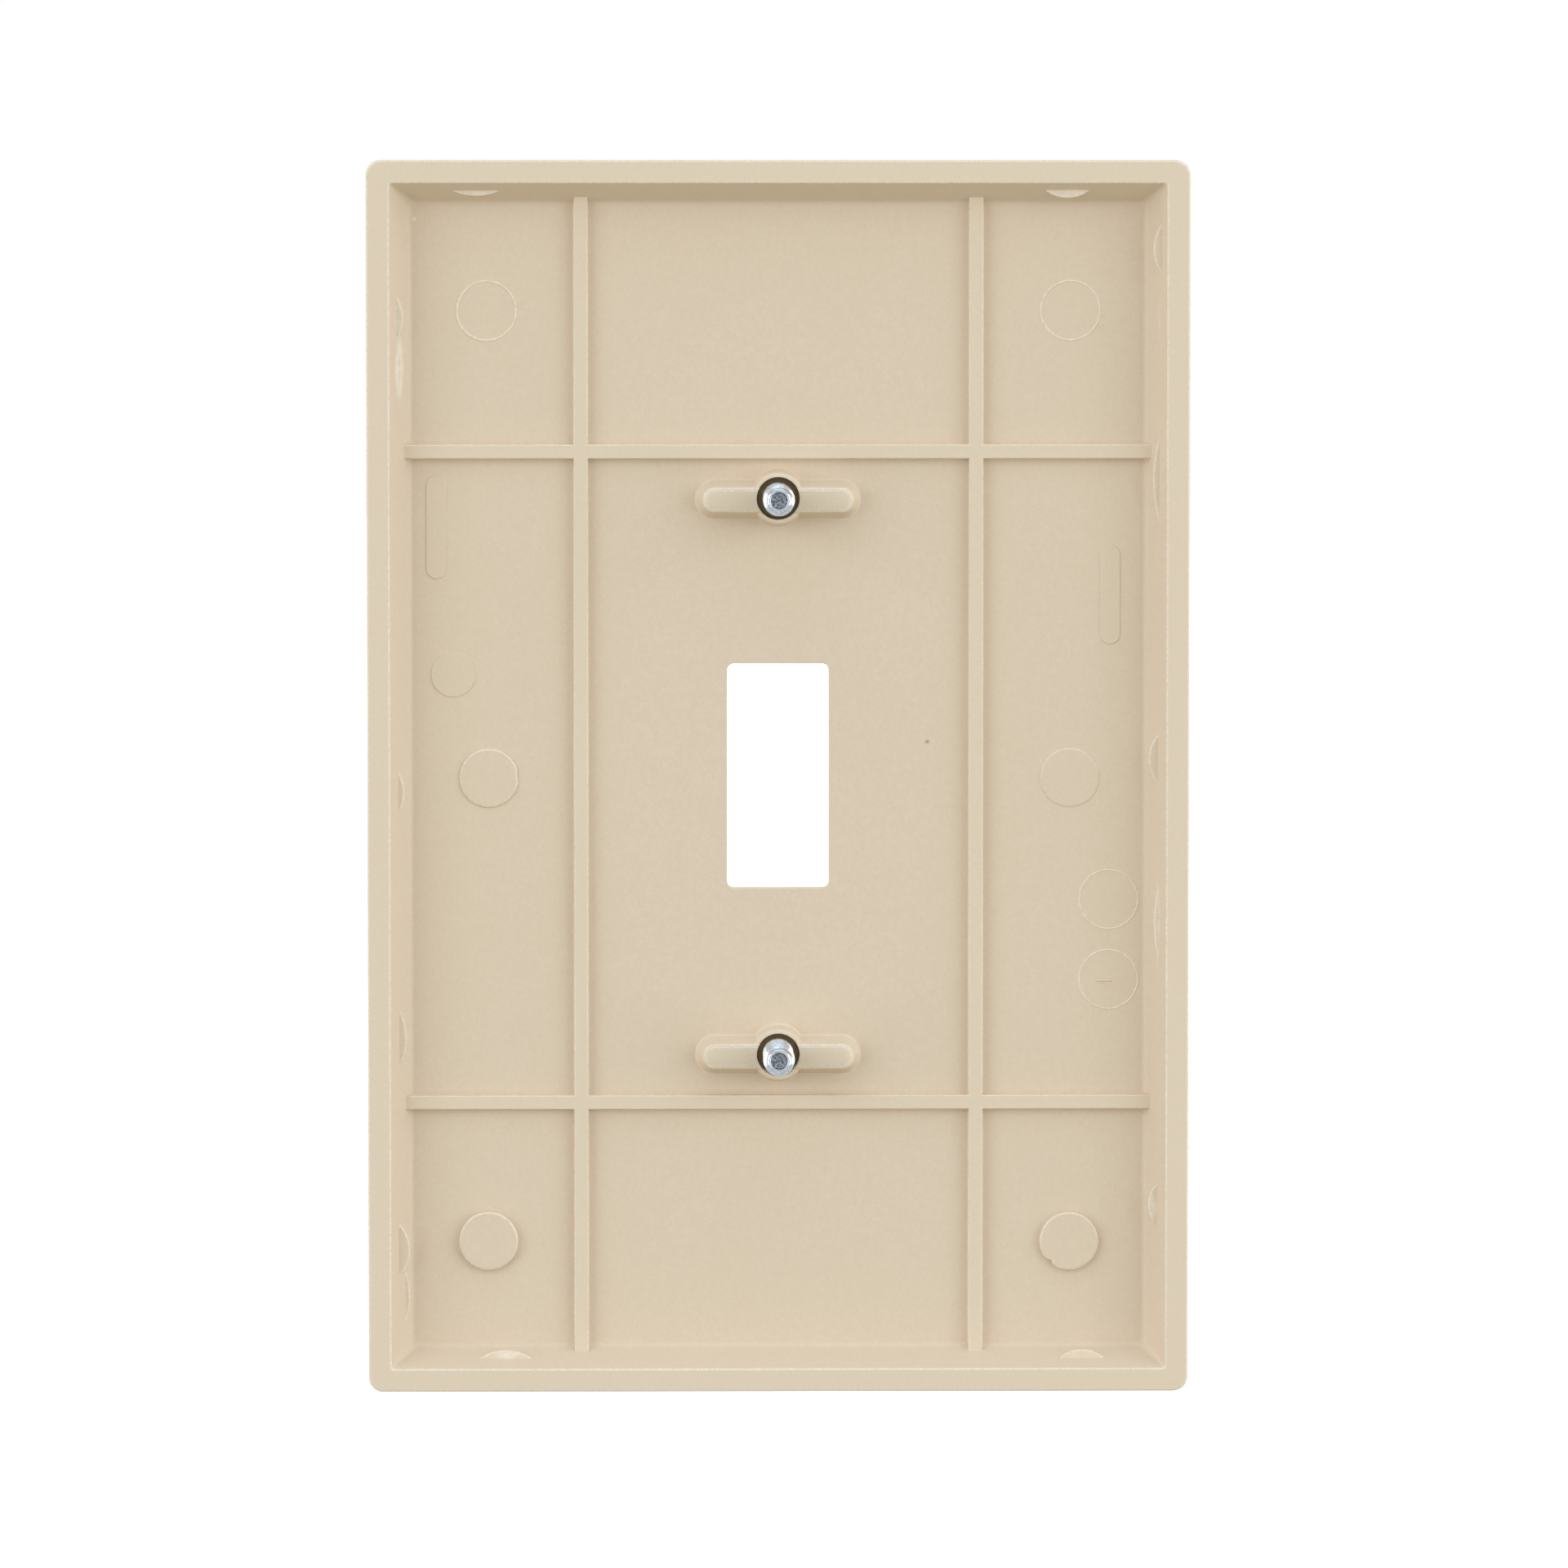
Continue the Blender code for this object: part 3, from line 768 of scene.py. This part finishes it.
def ease_slot_edges(obj):
    """Rounds the slot's upper edges."""
    mesh = bmesh.new()
    mesh.from_mesh(obj.data)
    edges = []
    for edge in mesh.edges:
        on_side = all(abs(abs(v.co.x) - SLOT_WIDTH / 2) < TUCK for v in edge.verts)
        above_floor = all(v.co.z < SLOT_DEPTH - DOME_HEIGHT - TUCK for v in edge.verts)
        if on_side and above_floor and edge.calc_face_angle(0) > SHARP_ANGLE:
            edges.append(edge)
    bmesh.ops.bevel(
        mesh, geom=edges, offset=SLOT_EDGE_ROUND, segments=3, profile=0.5, affect="EDGES"
    )
    mesh.to_mesh(obj.data)
    mesh.free()


def build_screw(name, node, materials):
    """A fine screw in a CAD screw's place. The materials are in the order of their numbers."""
    low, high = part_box(node)
    screw = new_object(name, screw_solid())
    combine(screw, "driver_slot", slot_cutter(), "DIFFERENCE", ZINC)
    ease_slot_edges(screw)
    for material in materials:
        screw.data.materials.append(material)
    for face in screw.data.polygons:
        centre = face.center
        near_tip = centre.z > SCREW_LENGTH - DIMPLE_RADIUS / 2
        # The tip's dimple takes a near-black metal: painted shade in its hollow.
        if centre.z < CONE_END:
            face.material_index = PAINT
        elif near_tip and math.hypot(centre.x, centre.y) < DIMPLE_RADIUS:
            face.material_index = DIMPLE_SHADE
    finish_shading(screw)
    screw.location = ((low.x + high.x) / 2, -PLATE_DEPTH, (low.z + high.z) / 2)
    screw.rotation_euler = (-math.pi / 2, 0, 0)
    return screw


# ---------------------------------------------------------------- materials


class Nodes:
    """Short ways to add shader nodes to one material."""

    def __init__(self, name):
        self.material = bpy.data.materials.new(name)
        self.material.use_nodes = True
        self.tree = self.material.node_tree
        self.shader = self.tree.nodes["Principled BSDF"]
        self.place = self.tree.nodes.new("ShaderNodeTexCoord").outputs["Object"]

    def add(self, kind, inputs=None, **settings):
        """A node with its settings and inputs. An input is a value or another node's output."""
        node = self.tree.nodes.new(kind)
        for key, value in settings.items():
            setattr(node, key, value)
        for key, value in (inputs or {}).items():
            self.put(value, node.inputs[key])
        return node

    def put(self, value, socket):
        """Links another node's output to a socket, or sets the socket's own value."""
        if isinstance(value, bpy.types.NodeSocket):
            self.tree.links.new(value, socket)
        else:
            socket.default_value = value

    def noise(self, waves, detail, roughness):
        """Noise of so many waves a metre."""
        inputs = {
            "Vector": self.place,
            "Scale": waves,
            "Detail": detail,
            "Roughness": roughness,
        }
        return self.add("ShaderNodeTexNoise", inputs).outputs["Fac"]

    def math(self, operation, first, second):
        node = self.add("ShaderNodeMath", {0: first, 1: second}, operation=operation)
        return node.outputs[0]

    def span(self, value, low, high, to_low, to_high, smooth=False):
        """value mapped from low..high to to_low..to_high, and held there."""
        node = self.add(
            "ShaderNodeMapRange",
            {
                "Value": value,
                "From Min": low,
                "From Max": high,
                "To Min": to_low,
                "To Max": to_high,
            },
        )
        node.interpolation_type = "SMOOTHSTEP" if smooth else "LINEAR"
        return node.outputs["Result"]

    def mix(self, factor, first, second):
        """One colour turning into another. A colour mix keeps its two colours at 6 and 7."""
        node = self.add("ShaderNodeMix", {0: factor, 6: first, 7: second}, data_type="RGBA")
        return node.outputs[2]

    def bump(self, height, distance, normal=None):
        """A surface raised by height times distance, on top of another normal."""
        inputs = {"Height": height, "Distance": distance, "Strength": 1.0}
        if normal is not None:
            inputs["Normal"] = normal
        return self.add("ShaderNodeBump", inputs).outputs["Normal"]

    def blob(self, centre, size):
        """1 in the middle of an egg-shaped spot, and 0 outside it. In mm."""
        inputs = {0: self.place, 1: [v * MM for v in centre]}
        offset = self.add("ShaderNodeVectorMath", inputs, operation="SUBTRACT").outputs[0]
        inputs = {0: offset, 1: [v * MM for v in size]}
        scaled = self.add("ShaderNodeVectorMath", inputs, operation="DIVIDE").outputs[0]
        length = self.add("ShaderNodeVectorMath", {0: scaled}, operation="LENGTH").outputs["Value"]
        return self.span(length, 0.35, 1.0, 1.0, 0.0, smooth=True)


IVORY = (0.743, 0.616, 0.477, 1)
IVORY_WARM = (0.716, 0.586, 0.438, 1)
IVORY_PALE = (0.87, 0.78, 0.66, 1)
# The land tones are paler than the ivory: painted sheen on the raised, smoother faces.
LAND_SHEEN_LIGHT = (0.765, 0.640, 0.491, 1)
LAND_SHEEN_WARM = (0.750, 0.621, 0.468, 1)
SPECK_BROWN = (0.36, 0.27, 0.16, 1)
# Much paler than the ivory: a painted glow of the light that soaks through round the holes.
BORE_GLOW_WARM = (0.93, 0.83, 0.68, 1)
BORE_GLOW_LIGHT = (0.95, 0.86, 0.72, 1)

ZINC_DARK = (0.50, 0.52, 0.55, 1)
ZINC_LIGHT = (0.72, 0.74, 0.77, 1)
# The dimple's dark tones are painted shade in the hollow at the screw's end.
DIMPLE_SHADE_DARK = (0.09, 0.10, 0.115, 1)
DIMPLE_SHADE_LIGHT = (0.44, 0.46, 0.50, 1)

# Pale scuffs where ejector pins rubbed, pale crescents above and below the collars (the last
# four rows), and one brown speck: centre, size and strength. In mm.
PALE_SPOTS = (
    ((29.4, -1.8, -62.7), (2.1, 1.0, 0.8), 0.9),
    ((-33.0, -1.8, -62.7), (2.2, 0.8, 0.8), 0.25),
    ((40.9, -2.1, 44.2), (0.9, 1.4, 4.2), 0.95),
    ((41.0, -1.9, 49.6), (0.5, 1.2, 2.8), 0.6),
    ((32.6, -1.6, 62.9), (3.0, 0.8, 0.6), 0.6),
    ((-31.2, -1.5, 63.0), (3.3, 0.8, 0.9), 0.6),
    ((-40.6, -1.7, -46.9), (0.7, 0.8, 1.8), 0.8),
    ((-41.0, -1.6, -15.8), (0.7, 0.6, 6.0), 0.75),
    ((-41.1, -1.3, 49.6), (0.3, 0.8, 3.4), 0.3),
    ((39.3, -4.0, 60.3), (0.3, 0.3, 0.3), 1.0),
    ((0.0, -1.3, 32.9), (2.7, 1.6, 0.8), 0.15),
    ((0.0, -1.3, 27.4), (2.4, 1.6, 0.7), 0.15),
    ((0.0, -1.3, -27.4), (2.7, 1.6, 0.8), 0.15),
    ((0.0, -1.3, -32.9), (2.4, 1.6, 0.7), 0.15),
)
SPECK = ((-16.2, -4.0, 3.7), (0.34, 0.3, 0.3), 0.7)

# How fine the plastic's patterns are, in waves a metre, and how much of its tone is cloudy.
CLOUD_WAVES = 70
DENT_WAVES = 420
STREAK_WAVES = 1100
SPECKLE_WAVES = 2600
GRAIN_WAVES = 3600
CLOUD_SHARE = 0.15


def moulded_plastic(name, low, high, grain_depth):
    """Fine-grained plastic of two tones, pale where ejector pins rubbed it and by the collars."""
    n = Nodes(name)
    speckle = n.noise(SPECKLE_WAVES, 3.0, 0.65)
    clouds = n.math("MULTIPLY", n.noise(CLOUD_WAVES, 2.0, 0.5), CLOUD_SHARE)
    tone = n.math("ADD", clouds, n.math("MULTIPLY", speckle, 1 - CLOUD_SHARE))
    colour = n.mix(n.span(tone, 0.36, 0.64, 0.0, 1.0), low, high)
    paleness = 0.0
    for centre, size, strength in PALE_SPOTS:
        spot = n.math("MULTIPLY", n.blob(centre, size), strength)
        paleness = n.math("MAXIMUM", spot, paleness)
    streaks = n.span(n.noise(STREAK_WAVES, 3.0, 0.7), 0.38, 0.56, 0.2, 1.0)
    colour = n.mix(n.math("MULTIPLY", paleness, streaks), colour, IVORY_PALE)
    speck = n.math("MULTIPLY", n.blob(SPECK[0], SPECK[1]), SPECK[2])
    colour = n.mix(speck, colour, SPECK_BROWN)
    n.put(colour, n.shader.inputs["Base Color"])
    n.put(n.span(speckle, 0.3, 0.7, 0.5, 0.62), n.shader.inputs["Roughness"])
    grain = n.bump(n.noise(GRAIN_WAVES, 3.0, 0.6), grain_depth)
    dents = n.bump(n.noise(DENT_WAVES, 2.0, 0.5), grain_depth / 2, grain)
    n.put(dents, n.shader.inputs["Normal"])
    return n.material


def back_plastic():
    """The grained floor and walls of the tray."""
    return moulded_plastic("ivory_plastic_back", IVORY_WARM, IVORY, 0.02 * MM)


def land_sheen_plastic():
    """The smoother plastic of rib tops, rim and ledges, painted slightly paler as sheen."""
    return moulded_plastic("ivory_plastic_land_sheen", LAND_SHEEN_WARM, LAND_SHEEN_LIGHT, 0.01 * MM)


def flash_and_highlight_plastic():
    """The pale flash left round ejector pins, and a painted highlight along rounded edges."""
    return moulded_plastic("ivory_plastic_flash_and_highlight", LAND_SHEEN_LIGHT, IVORY_PALE, 0.01 * MM)


def bore_glow_plastic():
    """The screw holes' plastic, painted pale as a glow of the light that soaks through it."""
    material = moulded_plastic("ivory_plastic_bore_glow", BORE_GLOW_WARM, BORE_GLOW_LIGHT, 0.01 * MM)
    shader = material.node_tree.nodes["Principled BSDF"]
    shader.inputs["Subsurface Weight"].default_value = 1.0
    shader.inputs["Subsurface Radius"].default_value = (1.0, 0.65, 0.35)
    shader.inputs["Subsurface Scale"].default_value = 6 * MM
    return material


def front_plastic():
    """Smooth semi-gloss face with a faint orange-peel surface."""
    n = Nodes("ivory_plastic_front")
    mottle = n.noise(40, 1.0, 0.5)
    colour = n.mix(n.span(mottle, 0.3, 0.7, 0.45, 0.65), IVORY_WARM, IVORY)
    fleck = n.span(n.noise(2200, 2.0, 0.6), 0.35, 0.7, 0.0, 0.12)
    n.put(n.mix(fleck, colour, IVORY_PALE), n.shader.inputs["Base Color"])
    n.put(n.span(n.noise(300, 3.0, 0.6), 0.3, 0.7, 0.2, 0.27), n.shader.inputs["Roughness"])
    n.put(n.bump(n.noise(700, 1.0, 0.5), 0.0022 * MM), n.shader.inputs["Normal"])
    return n.material


def zinc_plate():
    """Bright zinc plating, a little cloudy, with a fine uneven surface."""
    n = Nodes("zinc_plate")
    cloud = n.noise(2600, 4.0, 0.6)
    colour = n.mix(n.span(cloud, 0.3, 0.7, 0.0, 1.0), ZINC_DARK, ZINC_LIGHT)
    n.put(colour, n.shader.inputs["Base Color"])
    n.shader.inputs["Metallic"].default_value = 1.0
    n.put(n.span(cloud, 0.35, 0.65, 0.24, 0.16), n.shader.inputs["Roughness"])
    n.put(n.bump(n.noise(6000, 3.0, 0.6), 0.006 * MM), n.shader.inputs["Normal"])
    return n.material


def dimple_shade_metal():
    """The rough dimple at a screw's end, painted dark as the shade in its hollow."""
    n = Nodes("zinc_plate_dimple_shade")
    cloud = n.noise(4200, 4.0, 0.7)
    colour = n.mix(n.span(cloud, 0.42, 0.66, 0.0, 1.0), DIMPLE_SHADE_DARK, DIMPLE_SHADE_LIGHT)
    n.put(colour, n.shader.inputs["Base Color"])
    n.shader.inputs["Metallic"].default_value = 0.9
    n.put(n.span(cloud, 0.4, 0.62, 0.62, 0.35), n.shader.inputs["Roughness"])
    n.put(n.bump(cloud, 0.05 * MM), n.shader.inputs["Normal"])
    return n.material


def head_paint():
    """Ivory baked paint on the screw heads."""
    n = Nodes("ivory_paint")
    tone = n.span(n.noise(500, 2.0, 0.5), 0.35, 0.65, 0.0, 1.0)
    n.put(n.mix(tone, IVORY_WARM, IVORY), n.shader.inputs["Base Color"])
    n.put(n.span(n.noise(900, 2.0, 0.5), 0.3, 0.7, 0.24, 0.34), n.shader.inputs["Roughness"])
    n.put(n.bump(n.noise(1500, 2.0, 0.5), 0.004 * MM), n.shader.inputs["Normal"])
    return n.material


# ---------------------------------------------------------------- stage, light and camera


def build_floor():
    """A plain white floor under the plate's lower edge. It lights nothing itself."""
    half = FLOOR_HALF
    corners = [(half, half), (-half, half), (-half, -half), (half, -half)]
    mesh = bmesh.new()
    mesh.faces.new([mesh.verts.new((x, y, -HALF_HEIGHT)) for x, y in corners])
    floor = new_object("floor", mesh)
    n = Nodes("floor_white")
    n.shader.inputs["Base Color"].default_value = FLOOR_WHITE
    n.shader.inputs["Roughness"].default_value = 1.0
    n.shader.inputs["Emission Color"].default_value = (1, 1, 1, 1)
    n.shader.inputs["Emission Strength"].default_value = FLOOR_GLOW
    floor.data.materials.append(n.material)
    floor.visible_diffuse = False
    floor.visible_glossy = False
    floor.visible_shadow = False
    return floor


def build_world():
    """White to the camera. On the object, even soft light from above and from below."""
    world = bpy.data.worlds.new("studio")
    bpy.context.scene.world = world
    world.use_nodes = True
    nodes, links = world.node_tree.nodes, world.node_tree.links
    nodes.clear()
    direction = nodes.new("ShaderNodeTexCoord")
    height = nodes.new("ShaderNodeSeparateXYZ")
    share = nodes.new("ShaderNodeMapRange")
    share.inputs["From Min"].default_value = -HORIZON_BLEND
    share.inputs["From Max"].default_value = HORIZON_BLEND
    blend = nodes.new("ShaderNodeMix")
    blend.data_type = "RGBA"
    blend.inputs[7].default_value = LIGHT_ABOVE
    below = nodes.new("ShaderNodeMix")
    below.data_type = "RGBA"
    below.inputs[6].default_value = LIGHT_BELOW
    below.inputs[7].default_value = MIRRORED_BELOW
    light = nodes.new("ShaderNodeBackground")
    backdrop = nodes.new("ShaderNodeBackground")
    backdrop.inputs["Color"].default_value = (1, 1, 1, 1)
    rays = nodes.new("ShaderNodeLightPath")
    choice = nodes.new("ShaderNodeMixShader")
    output = nodes.new("ShaderNodeOutputWorld")
    links.new(direction.outputs["Generated"], height.inputs[0])
    links.new(height.outputs["Z"], share.inputs["Value"])
    links.new(share.outputs[0], blend.inputs[0])
    links.new(rays.outputs["Is Glossy Ray"], below.inputs[0])
    links.new(below.outputs[2], blend.inputs[6])
    links.new(blend.outputs[2], light.inputs["Color"])
    links.new(rays.outputs["Is Camera Ray"], choice.inputs["Fac"])
    links.new(light.outputs[0], choice.inputs[1])
    links.new(backdrop.outputs[0], choice.inputs[2])
    links.new(choice.outputs[0], output.inputs[0])


def area_light(name, place, size, power, tint):
    """A soft rectangular light that points at the origin."""
    light = bpy.data.lights.new(name, "AREA")
    light.shape = "RECTANGLE"
    light.size, light.size_y = size
    light.energy = power
    light.color = tint
    lamp = bpy.data.objects.new(name, light)
    bpy.context.scene.collection.objects.link(lamp)
    lamp.location = place
    lamp.rotation_mode = "QUATERNION"
    lamp.rotation_quaternion = (-Vector(place)).to_track_quat("-Z", "Y")
    lamp.visible_camera = False
    return lamp


def build_camera():
    """The view of the plate's back, from about a metre away."""
    data = bpy.data.cameras.new("camera")
    camera = bpy.data.objects.new("camera", data)
    bpy.context.scene.collection.objects.link(camera)
    back = Vector(
        (
            math.sin(CAMERA_AZIMUTH) * math.cos(CAMERA_ELEVATION),
            -math.cos(CAMERA_AZIMUTH) * math.cos(CAMERA_ELEVATION),
            math.sin(CAMERA_ELEVATION),
        )
    )
    camera.location = CAMERA_TARGET + back * CAMERA_DISTANCE
    camera.rotation_mode = "QUATERNION"
    camera.rotation_quaternion = (-back).to_track_quat("-Z", "Y")
    data.sensor_width = 36.0
    data.lens = data.sensor_width * CAMERA_DISTANCE / VIEW_WIDTH
    data.clip_start = 0.05
    data.clip_end = 20.0
    bpy.context.scene.camera = camera


def build_lights():
    """Soft boxes behind the plate, and a dimmer set of them in front of it."""
    build_world()
    for name, (x, y, z), size, power, tint in SOFT_BOXES:
        area_light(name + "_behind", (x, y, z), size, power, tint)
        if x:
            area_light(name + "_before", (x, -y, z), size, FRONT_SHARE * power, tint)


def main():
    metals = (zinc_plate(), head_paint(), dimple_shade_metal())
    plastics = (
        back_plastic(),
        front_plastic(),
        land_sheen_plastic(),
        flash_and_highlight_plastic(),
        bore_glow_plastic(),
    )
    plate = build_plate(plastics)
    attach(plate, "plate")
    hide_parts("wall_plate")
    for node in ("upper_screw", "lower_screw"):
        screw = build_screw(node + "_fine", node, metals)
        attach(screw, node)
        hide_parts(node)
    build_floor()
    build_lights()
    build_camera()
    bpy.context.scene.view_settings.view_transform = "Standard"


main()
